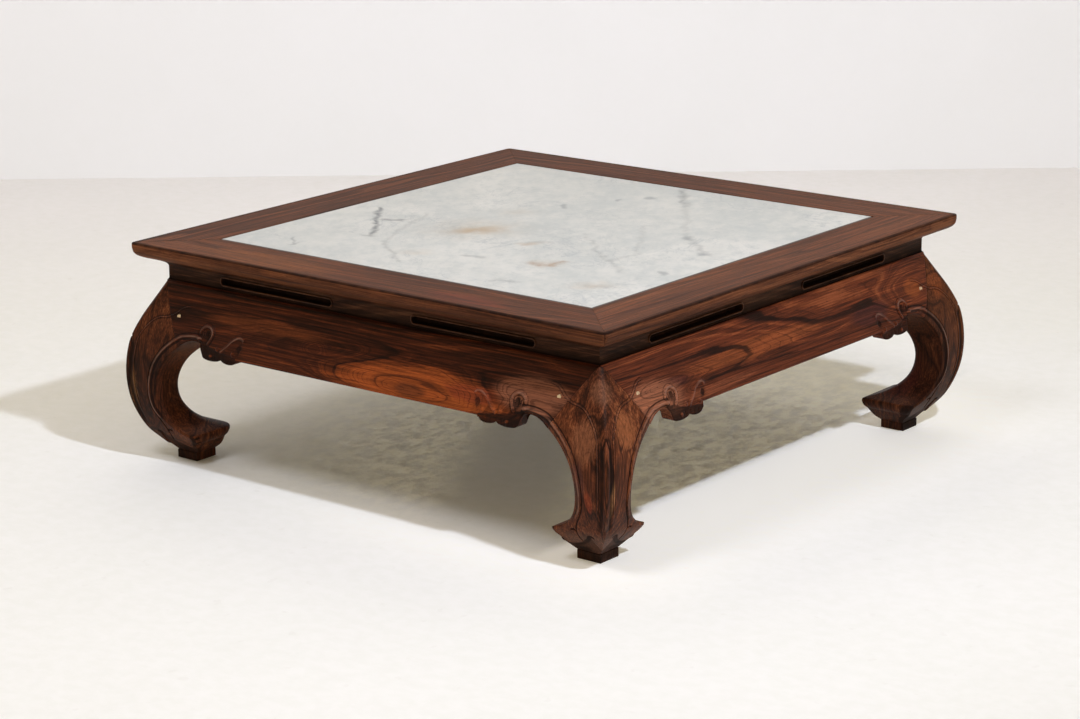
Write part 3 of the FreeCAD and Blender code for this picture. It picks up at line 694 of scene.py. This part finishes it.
# %% Legs
def from_arris_at(column, width):
    """Distance from the arris of a face's column, where the face is so wide."""
    scale = np.minimum(1, width / 62)
    last = len(near_arris) - 1
    first_far = len(near_arris) + middle_columns
    start = near_arris[-1] * scale
    end = width - near_edge[0] * scale
    middle = start + (end - start) * (column - last) / (first_far - last)
    near = near_arris[np.clip(column, 0, last)] * scale
    far = width - near_edge[np.clip(column - first_far, 0, len(near_edge) - 1)] * scale
    return np.where(column <= last, near, np.where(column >= first_far, far, middle))


def leg_face(inner, outer, up, column):
    """Across and out (mm) of a point in a leg's carved face, and its painted look, with the pad painted dark as painted
    shade.
    """
    from_arris = from_arris_at(column, outer - inner)
    across = outer - from_arris
    shared, shared_look = carving(across, up)
    own, own_look = leg_carving(across, up)
    joint = np.where(up > seam_foot[1], -0.45 * np.clip(1 - (across - inner), 0, 1), 0)
    on_pad = up < 14.4
    proud = np.where(on_pad, 0, shared + own + joint)
    pulled = np.where(on_pad, 0, leg_carving(outer, up)[0]) * swell(1 - from_arris / 20)
    round_off = np.where(on_pad, 0.4, 1.3 + 11 * swell((up - 202) / 75))
    part_round = np.clip(from_arris / round_off, 0, 1)
    lean = 0.25 * math.pi * (1 - part_round)
    pulled = pulled + np.where(part_round < 1, from_arris - round_off * (1 - np.sin(lean)), 0)
    proud = proud - round_off * (1 - np.cos(lean))
    # The pad is painted dark: painted shade under the hoof.
    return across + pulled, outer + proud, np.where(on_pad, -0.75, shared_look + own_look + joint)


def leg_rule(column, row, toe_relief):
    """Places round each square: the left face, the front one, and the two inner sides with their rounded corner."""
    up, inner, outer = levels[row], inner_side[row], outer_side[row]
    span = face_columns - 1
    on_left = column <= span
    on_front = (column > span) & (column <= 2 * span)
    on_right = (column > 2 * span) & (column <= 2 * span + inner_columns)
    face_column = np.where(on_left, span - column, np.clip(column - span, 0, span))
    across, out, look = leg_face(inner, outer, up, face_column)
    edge_out = leg_face(inner, outer, up, np.full(column.shape, span))[1]
    relief = 15 + (toe_relief - 15) * swell((90 - up) / 40)
    relief = relief * swell((208 - up) / 30) * swell((up - 15) / 30)
    flat_columns = inner_columns - 3
    step = np.where(on_right, column - 2 * span, 2 * (span + inner_columns) - column)
    flat = np.clip(step / flat_columns, 0, 1)
    angle = np.clip((step - flat_columns) / 3, 0, 1) * math.pi / 4
    near = inner + relief * (1 - np.cos(angle))
    far = edge_out + (inner + relief - edge_out) * flat - relief * np.sin(angle)
    faces = (on_left, on_front, on_right)
    x = np.select(faces, (-out, -across, -near), -far)
    y = np.select(faces, (-across, -out, -far), -near)
    return np.stack((x, y, up), axis=1), np.where(on_left | on_front, look, 0)


def leg_sheet(toe_relief):
    """The front left leg: the stack of squares, and the post that stands behind the aprons."""
    sheet = closed_up(laid_grid(around, len(levels) - 1, lambda column, row: leg_rule(column, row, toe_relief)))
    low, high = Vector((-436, -436, 214)), Vector((-392, -392, 339.8))
    post = bmesh.ops.create_cube(sheet, size=0.001)["verts"]
    bmesh.ops.scale(sheet, vec=high - low, verts=post)
    bmesh.ops.translate(sheet, vec=(high + low) / 2000, verts=post)
    edges = list({edge for vertex in post for edge in vertex.link_edges})
    bmesh.ops.bevel(sheet, geom=edges, offset=0.0006, offset_type="OFFSET", affect="EDGES", segments=2, profile=0.5,
                    material=-1)
    return sheet


leg_finishes = {
    "front_left": (1, 1, 10, 0.5, 1.1,
                   [((-512, -470, 235), (50, 30, 40), 0.12), ((-452, -512, 225), (30, 50, 40), 0.14)],
                   [((-512, -462, 215), (60, 42, 60), (134, 84, 58), 0.7),
                    ((-470, -470, 35), (110, 110, 52), (104, 76, 64), 0.6),
                    ((-512, -452, 150), (50, 20, 50), (92, 56, 50), 0.5),
                    ((-452, -512, 228), (36, 60, 50), (146, 88, 54), 0.7),
                    ((-480, -480, 290), (50, 50, 40), (110, 72, 52), 0.7),
                    ((-506, -506, 225), (20, 20, 60), (140, 80, 54), 0.75),
                    ((-512, -512, 150), (12, 12, 50), (98, 60, 40), 0.6),
                    ((-512, -470, 118), (50, 13, 32), (150, 66, 40), 0.5),
                    ((-490, -512, 125), (8, 60, 60), (168, 122, 82), 0.55)]),
    "front_right": (-1, 1, 3, 0.8, 0.8, [((440, -500, 270), (50, 60, 50), 0.2)],
                    [((455, -500, 268), (35, 60, 35), (132, 68, 34), 0.6),
                     ((430, -430, 120), (60, 60, 100), (70, 30, 24), 0.6)]),
    "back_left": (1, -1, 24, 0.8, 0.92, [], [((-512, 500, 130), (50, 16, 70), (120, 84, 50), 0.6)]),
    "back_right": (-1, -1, 10, 0.8, 0.92, [], []),
}
for corner, (turn_x, turn_y, toe_relief, ring_share, depth_of_tone, knots, patches) in leg_finishes.items():
    sheet = leg_sheet(toe_relief)
    bmesh.ops.scale(sheet, vec=(turn_x, turn_y, 1), verts=sheet.verts)
    bmesh.ops.recalc_face_normals(sheet, faces=sheet.faces)
    wood = rosewood("leg_wood_" + corner, "z", leg_brown, 3 + len(corner), knots, patches,
                    (-2.2 * turn_x, -2.2 * turn_y, 0.7), ring_share, gloss=0.34, shine=0.10, cross=14, long=4,
                    dim=depth_of_tone ** 2.2)
    hung_up("carved_leg_" + corner, sheet, wood, "leg_" + corner)

# %% [markdown]
# ## Aprons
#
# An apron is a board as bulged as the legs, hollowed behind to save weight, with a carved bracket near each end and
# a small arch that runs on into the leg. Its lower edge is the busy one. So the grid's columns start along that edge,
# close together round the brackets, and fan out to the straight top edge; its rows run from the lower edge up the
# face, over the top and down the back. One apron serves for all four sides, turned a quarter each time; only the left
# one is left a few millimetres deeper between its brackets.

# %% Aprons
apron_line = np.array(bracket_edge + arch_crown)
line_pace = np.concatenate(([0], np.cumsum(np.hypot(*np.diff(apron_line, axis=0).T))))
plain_end = 240
half_steps = np.concatenate((np.linspace(0, plain_end, 58), np.linspace(plain_end, line_pace[-1], 132)[1:]))
half_columns = len(half_steps) - 1
low_across = np.interp(half_steps, line_pace, apron_line[:, 0])
low_up = np.interp(half_steps, line_pace, apron_line[:, 1])
high_across = seam_top[0] * half_steps / line_pace[-1]
face_shares = np.concatenate(([0, 0.006, 0.014, 0.024], np.linspace(0.036, 0.972, 74), [0.985, 1]))
face_rows = len(face_shares) - 1
back_plane, hollow_plane, hollow_start = 436, 482, 271
back_stops = np.array([0, 2, 4, 8, 9, 12])
back_rows = 12


def apron_rule(column, row, deeper):
    """Places up the face, over the top and down the back. The last row meets the first along the lower edge."""
    row = np.where(row > face_rows + back_rows, 0, row)
    hand = np.where(column < half_columns, -1, 1)
    half = np.abs(column - half_columns)
    low_x, low_z, high_x = low_across[half], low_up[half], high_across[half]
    hollow = hollow_plane + (back_plane - hollow_plane) * swell((low_x - 378) / 10)
    share = face_shares[np.clip(row, 0, face_rows)]
    across = low_x + (high_x - low_x) * share
    dropped = deeper * (low_x < 256.8)
    low_z = low_z - dropped
    up = low_z + (top_edge - low_z) * share
    on_pattern = up + dropped * swell((232 - up) / 14)
    shared, look = carving(across, on_pattern)
    own, own_look = bracket_carving(across, on_pattern)
    joint = -0.45 * np.clip(1 - np.abs(beside(across, up, (seam_foot, seam_top))[0]), 0, 1)
    out = outer_at(up) + shared + own + joint
    level = np.zeros(row.shape)
    corners_out = np.stack((outer_at(top_edge) + level, back_plane + level, back_plane + level, hollow, hollow,
                            outer_at(low_z) - 2.5), axis=1)
    corners_up = np.stack((top_edge + level, top_edge + level, hollow_start + level,
                           np.maximum(low_z, apron_edge) + 0.5, low_z + 0.2, low_z), axis=1)
    place = np.clip(row - face_rows, 0, back_rows)
    leg_of = np.clip(np.searchsorted(back_stops, place, side="right") - 1, 0, 4)
    part = (place - back_stops[leg_of]) / (back_stops[leg_of + 1] - back_stops[leg_of])
    pick = np.arange(len(row))
    back_out, back_up = (corners[pick, leg_of] * (1 - part) + corners[pick, leg_of + 1] * part
                         for corners in (corners_out, corners_up))
    behind = row > face_rows
    up = np.where(behind, back_up, up)
    out = np.where(behind, back_out, out)
    rise = np.clip((up - low_z) / (top_edge - low_z), 0, 1)
    across = np.minimum(low_x + (high_x - low_x) * rise, out - 0.2)
    return np.stack((hand * across, -out, up), axis=1), np.where(behind, 0, look + own_look + joint)


apron_finishes = {
    "front": (red_brown,
              [((400, -500, 268), (150, 200, 60), 0.28), ((-330, -500, 262), (120, 200, 30), -0.10)],
              [((-80, -500, 271), (320, 200, 22), (142, 76, 42), 0.65),
               ((-330, -500, 264), (100, 200, 15), (58, 27, 27), 0.8),
               ((-370, -500, 245), (120, 200, 55), (154, 98, 72), 0.8),
               ((-200, -500, 236), (160, 200, 12), (136, 76, 50), 0.6),
               ((240, -500, 258), (90, 200, 30), (62, 32, 32), 0.75),
               ((385, -500, 272), (40, 200, 24), (138, 72, 36), 0.7)]),
    "left": (deep_brown,
             [((-500, -120, 236), (200, 270, 62), 0.36), ((-500, 100, 262), (200, 35, 14), 0.10)],
             [((-510, 220, 278), (200, 240, 20), (118, 62, 34), 0.6),
              ((-510, -135, 234), (200, 290, 55), (146, 72, 32), 0.95),
              ((-510, -115, 232), (200, 50, 16), (88, 46, 26), 0.7),
              ((-510, -235, 246), (200, 90, 22), (124, 52, 32), 0.6),
              ((-510, -350, 262), (200, 120, 45), (134, 84, 62), 0.8)]),
    "right": (deep_brown, [((500, 100, 240), (200, 200, 50), 0.25)], []),
    "back": (red_brown, [((-200, 500, 250), (200, 200, 50), 0.2)], []),
}
for quarter, (side, grain) in enumerate(sides):
    deeper = 6.5 if side == "left" else 0
    sheet = closed_up(laid_grid(2 * half_columns, face_rows + back_rows + 1,
                                lambda column, row: apron_rule(column, row, deeper)))
    spun(sheet, "Z", 90 * quarter)
    palette, knots, patches = apron_finishes[side]
    lean = (0.15, 0.5, 3) if grain == "x" else (0.5, 0.15, 3)
    wood = rosewood("apron_wood_" + side, grain, palette, 11 + quarter, knots, patches, lean, 1.1, shine=0.11)
    hung_up("carved_apron_" + side, sheet, wood, "apron_" + side)

# %% [markdown]
# ## Waist boards
#
# Between the aprons and the top is a set-back board, a little hollow from top to bottom like the moulding over it,
# with two long blind slots, each with a raised bead round it that wear and a painted highlight make lighter. The
# slots are painted dark inside, for dirt and painted shade, and the face is painted darker towards its bottom, as
# painted shade. A slot's outline is a circle pulled apart in the middle, so each ring of the bead starts as a circle
# made by bmesh, is pulled apart, and is bridged to the next. What is left of the board's face is filled round the
# outer rings.

# %% Waist
waist_face = 455.2
slot_middle, slot_half, slot_level = 208.5, 126.5, 326.5
bead_profile = ((8.9, 0), (8.6, 0.7), (7.9, 1.5), (7, 1.8), (6.1, 1.5), (5.5, 0.8), (5.2, -0.5), (5.2, -10.5),
                (4, -11.7))
waist_profile = ((457.6, 312.4), (456.6, 313.2), (455.6, 314.6), (waist_face, 316.4), (waist_face, 336.2), (455.8, 338),
                 (457.2, 340.2), (459.6, 342.2), (463, 343.9), (436, 341), (436, 312.4))


def pulled_ring(sheet, radius, pull, middle, depth):
    """A circle stood upright, its halves pulled apart along the board."""
    made = bmesh.ops.create_circle(sheet, cap_ends=False, radius=radius / 1000, segments=24)["verts"]
    spun(sheet, "Z", 7.5, made)
    spun(sheet, "X", 90, made)
    for hand in (-1, 1):
        half = [vertex for vertex in made if vertex.co.x * hand > 0]
        bmesh.ops.translate(sheet, vec=(hand * pull / 1000, 0, 0), verts=half)
    bmesh.ops.translate(sheet, vec=(middle / 1000, -depth / 1000, slot_level / 1000), verts=made)
    return list({edge for vertex in made for edge in vertex.link_edges})


def waist_sheet():
    """The front waist board with its two beaded slots."""
    sheet = bmesh.new()
    front_rings = []
    for middle in (-slot_middle, slot_middle):
        rings = [pulled_ring(sheet, radius, slot_half - bead_profile[0][0], middle, waist_face + rise)
                 for radius, rise in bead_profile]
        for first, second in zip(rings, rings[1:]):
            bmesh.ops.bridge_loops(sheet, edges=first + second)
        front_rings += rings[0]
        bmesh.ops.holes_fill(sheet, edges=rings[-1], sides=0)
    ends = []
    for hand in (-1, 1):
        corners = [sheet.verts.new((hand * out / 1000, -out / 1000, z / 1000)) for out, z in waist_profile]
        ends.append([sheet.edges.new((corner, corners[index - 1])) for index, corner in enumerate(corners)])
    strips = bmesh.ops.bridge_loops(sheet, edges=ends[0] + ends[1])["faces"]
    face = [strip for strip in strips if all(abs(vertex.co.y * 1000 + waist_face) < 0.01 for vertex in strip.verts)]
    frame_edges = list(face[0].edges)
    bmesh.ops.delete(sheet, geom=face, context="FACES_ONLY")
    bmesh.ops.triangle_fill(sheet, use_beauty=True, edges=frame_edges + front_rings)
    for end in ends:
        bmesh.ops.holes_fill(sheet, edges=end, sides=0)
    bmesh.ops.recalc_face_normals(sheet, faces=sheet.faces)
    # The 'carved' values paint the look: the bead pale, for wear and a painted highlight; the inside of the slots dark,
    # for dirt and painted shade; the face darker towards its bottom, a painted shade.
    carved = sheet.verts.layers.float.new("carved")
    for vertex in sheet.verts:
        rise = -vertex.co.y * 1000 - waist_face
        height = vertex.co.z * 1000
        on_bead = rise > 1.2 and 317 < height < 336
        vertex[carved] = 0.72 if on_bead else -1 if rise < -0.3 else 0.1 - 0.7 * max(0, (336 - height) / 20)
    return sheet


for quarter, (side, grain) in enumerate(sides):
    sheet = waist_sheet()
    spun(sheet, "Z", 90 * quarter)
    wood = rosewood("waist_wood_" + side, grain, waist_brown, 21 + quarter, ring_share=0.5, shine=0.06)
    hung_up("slotted_waist_" + side, sheet, wood, "waist_" + side)

# %% [markdown]
# ## The frame of the top
#
# Four members are mitred round the slab. Each is one moulding plane's profile run along its length: flat on top, a
# thin upright nose, then a hollow that sweeps in to the waist. The corners are softened by wear, so near a corner the
# outer part of the profile turns a small arc up to the mitre. Grain changes direction there, and a fine line shows
# where the two members meet.

# %% Frame members
edge_half = 500
corner_radius = 8
member_profile = [(393, 358), (393, 375.6), (393.9, 377), (395.4, 377.9), (396, 378)]
member_profile += [(across, 378) for across in np.linspace(402, 494, 12)]
member_profile += [(497.2, 377.9), (498.8, 377.5), (499.6, 376.8), (499.9, 375.9), (500, 374.8), (500, 373.4),
                   (500, 371.6), (500, 369.6)]
member_profile += smooth_through(((499.6, 368), (497.6, 361.4), (491, 355), (482, 350.6), (470, 346.8), (462, 343.2),
                                  (455, 340)), 5)
member_profile += [(420, 340), (379, 340), (379, 358)]
profile_out = np.array([out for out, up in member_profile])
profile_up = np.array([up for out, up in member_profile])
arc_steps = 5
straight_shares = np.concatenate(([0, 0.0018, 0.006], np.linspace(0.02, 0.98, 44), [0.994, 0.9982, 1]))
straight_count = len(straight_shares) - 1
member_columns = straight_count + 2 * arc_steps


def member_rule(column, row):
    """Places for a member along the front. The last row of the profile joins its first."""
    point = np.where(row >= len(profile_out), 0, row)
    out = profile_out[point]
    up = profile_up[point]
    radius = np.maximum(corner_radius - (edge_half - out), 0)
    reach = out - radius
    step = column - arc_steps
    share = straight_shares[np.clip(step, 0, straight_count)]
    turned_steps = np.where(step < 0, -step, np.where(step > straight_count, step - straight_count, 0))
    hand = np.where(step < straight_count / 2, -1, 1)
    angle = turned_steps / arc_steps * math.pi / 4
    along = reach * (2 * share - 1) + hand * radius * np.sin(angle)
    away = reach + radius * np.cos(angle)
    at_mitre = (turned_steps == arc_steps) | ((radius == 0) & ((share == 0) | (share == 1)))
    sink = np.where(at_mitre, 0.25, 0)
    away = away - np.where((up < 377.5) & (out > 455), sink, 0)
    along = np.where(at_mitre, hand * away, along)
    up = up - np.where((up > 377.5), sink, 0)
    # Painted shade: below the top the member is a little darker, darker still towards the waist, with a dark line just
    # under the arris. The dark mitre and the dark edge by the marble are joints.
    look = np.where(up > 377.6, 0, -0.22) - 0.36 * at_mitre - 0.75 * (up > 375.5) * (out > 496.5) - 0.35 * (out == 494)
    look = look - 0.9 * (out < 394) * (up > 370) - 0.5 * swell((348 - up) / 8)
    return np.stack((along, -away, up), axis=1), look


for quarter, (side, grain) in enumerate(sides):
    node = ("frame_stile_" if grain == "x" else "frame_rail_") + side
    sheet = closed_up(laid_grid(member_columns, len(profile_out), member_rule))
    spun(sheet, "Z", 90 * quarter)
    lean = (0.1, 4, 2) if grain == "x" else (4, 0.1, 2)
    warmer = [((-450, 220, 378), (55, 220, 100), (126, 76, 40), 0.5),
              ((-460, -200, 378), (40, 140, 100), (122, 62, 44), 0.45)] if node == "frame_rail_left" else []
    wood = rosewood("top_wood_" + node, grain, top_brown, 31 + quarter, (), warmer, lean, 0.4, 0.2, 0.11)
    hung_up("moulded_" + node, sheet, wood, node)

# %% [markdown]
# ## The marble and the plain pieces
#
# The slab, the pegs, and the braces and keys that nobody sees from outside are right as they were packed, so they stay
# and only get their finish. The marble is white with a grey cloud and a fine mottle. Its grey veins run askew to the
# slab's sides, and so do a few brownish stains where something was spilt, so both are drawn in a turned frame.

# %% Marble
slab_turn = math.radians(51.1)
veins = ((-299, 180, -301, -45, 6, 1), (-292, 80, -241, 67, 9, 1), (-322, -36, -286, -55, 5, 0.60),
         (-430, -45, -424, -112, 4, 0.60), (-434, -112, -412, -84, 4.5, 0.45), (238, 304, 236, 150, 7, 0.65),
         (236, 160, 229, -90, 6, 0.22), (229, -80, 256, -225, 6, 0.32), (60, -46, 78, -199, 5.5, 0.30),
         (78, -190, 115, -333, 6, 0.30), (137, -202, 162, 15, 5.5, 0.20), (85, -255, 150, -195, 6.5, 0.24),
         (-211, 130, -279, -87, 4.5, 0.26), (-279, -80, -243, -245, 5, 0.36), (-147, -188, -102, -217, 9, 0.46),
         (-94, -362, -42, -388, 8, 0.44))
spilt_lines = ((-36, -240, -4, -279, 11, 0.8), (-6, -280, 28, -244, 10, 0.8))
grey_spots = ((25, 166, 10, 26), (180, 230, 12, 22), (117, 213, 9, 20), (229, -94, 16, 24), (245, -208, 14, 20),
              (173, -336, 10, 20))
stains = ((-126, -12, 72, 52, 0.90), (-125, 0, 140, 110, 0.34), (-33, -119, 40, 22, 0.60), (-4, -262, 50, 40, 0.22),
          (65, -411, 70, 36, 0.40), (-223, -173, 50, 34, 0.26), (-54, 122, 60, 50, 0.20))


def vein(bench, place, start_x, start_y, end_x, end_y, width):
    """How near a point is to a line between two points of the slab, drawn a little wider than it looks. Millimetres."""
    start, end = Vector((start_x, start_y, 0)) / 1000, Vector((end_x, end_y, 0)) / 1000
    length = (end - start).length
    way = (end - start) / length
    moved = bench.vectors("SUBTRACT", place, start)
    along = bench.vectors("DOT_PRODUCT", moved, way)
    aside = bench.maths("ABSOLUTE", bench.vectors("DOT_PRODUCT", moved, (-way.y, way.x, 0)))
    ends = bench.between(along, -0.004, 0.012) * bench.between(along, length + 0.004, length - 0.012)
    broken = bench.between(bench.noise(place, 70, 2), 0.36, 0.58, 0.50, 1)
    return bench.between(aside, 0.0016 * width, 0) * ends * broken


def marble():
    bench = Bench("marble")
    place = bench.place()
    askew = bench.add("ShaderNodeMapping", {}, {"Vector": place, "Rotation": (0, 0, slab_turn)})
    wobble = bench.noise(place, 30, 4, output="Color")
    back_a_bit = bench.stretched(askew, (1, 1, 0), (-0.016, -0.020, 0))
    bent = bench.vectors("MULTIPLY_ADD", wobble, (0.032, 0.040, 0), back_a_bit)
    cloud = bench.noise(place, 4.2, 5, 0.6, 0.8)
    tone = bench.ramp(cloud, [(0.30, (175, 178, 174)), (0.50, (191, 191, 185)), (0.70, (206, 204, 197))])
    mottled = bench.noise(bench.stretched(askew, (46, 30, 30)), 1, 5, 0.68)
    tone = bench.tint(bench.between(mottled, 0.48, 0.64) * 0.42, tone, 171, 175, 172)
    tone = bench.tint(bench.between(mottled, 0.50, 0.34) * 0.34, tone, 209, 205, 197)
    patchy = bench.between(bench.noise(place, 5, 3), 0.40, 0.62)
    squeezed = bench.stretched(askew, (1, 0.6, 1))
    for vector, scale, width, share in ((squeezed, 6, 0.014, 0.40), (place, 17, 0.020, 0.34)):
        far = bench.maths("ABSOLUTE", bench.noise(vector, scale, 6, 0.64, 1.5) - 0.5)
        tone = bench.tint(bench.between(far, width, 0) * patchy * share, tone, 140, 146, 150)
    for *line, share in veins:
        tone = bench.tint(vein(bench, bent, *line) * share, tone, 108, 110, 110)
    for across, away, wide, deep in grey_spots:
        spot = rounded_spot(bench, bent, (across, away, 0), (wide, deep, 100), 0.2)
        tone = bench.tint(spot * 0.6, tone, 118, 122, 124)
    uneven = bench.between(bench.noise(askew, 26, 4, 0.6), 0.34, 0.60, 0.40, 1)
    for across, away, wide, deep, share in stains:
        spot = rounded_spot(bench, bent, (across, away, 0), (wide, deep, 100))
        tone = bench.tint(spot * uneven * share, tone, 166, 142, 110)
    for *line, share in spilt_lines:
        tone = bench.tint(vein(bench, bent, *line) * share, tone, 150, 122, 92)
    reach = bench.vectors("ABSOLUTE", place)
    outer = bench.maths("MAXIMUM", bench.part(reach, "X"), bench.part(reach, "Y"))
    tone = bench.tint(bench.between(outer, 0.3895, 0.3920) * 0.85, tone, 70, 56, 46)
    bump = bench.bump(bench.noise(place, 240, 2), 0.00005, 0.4)
    return bench.finish({"Base Color": tone, "Roughness": 0.34 + cloud * 0.12, "Normal": bump})


def dressed(node, material):
    """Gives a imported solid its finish."""
    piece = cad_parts[node]
    piece.data.materials.clear()
    piece.data.materials.append(material)


dressed("marble_slab", marble())
brace_wood = rosewood("brace_wood", "y", inner_brown, 41, ring_share=0.3, gloss=0.1, carved=False)
key_wood = rosewood("key_wood", "z", inner_brown, 43, ring_share=0.3, gloss=0.1, carved=False)
peg_wood = rosewood("peg_wood", "z", peg_pale, 47, ring_share=0.1, gloss=0.2, carved=False)
for node in ("brace_left", "brace_middle", "brace_right"):
    dressed(node, brace_wood)
for node in ("key_front", "key_back", "key_left", "key_right"):
    dressed(node, key_wood)
dressed("joint_pegs", peg_wood)

# %% [markdown]
# ## Closing up
#
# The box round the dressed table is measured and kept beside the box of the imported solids, to show that dressing it
# changed no size.

# %% Sizes and finish
shown_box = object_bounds()
for end, shown, packed in zip(("low", "high"), shown_box, packed_box):
    moved = [round((after - before) * 1000, 1) for after, before in zip(shown, packed)]
    print("moved at the", end, "end by", moved, "mm")
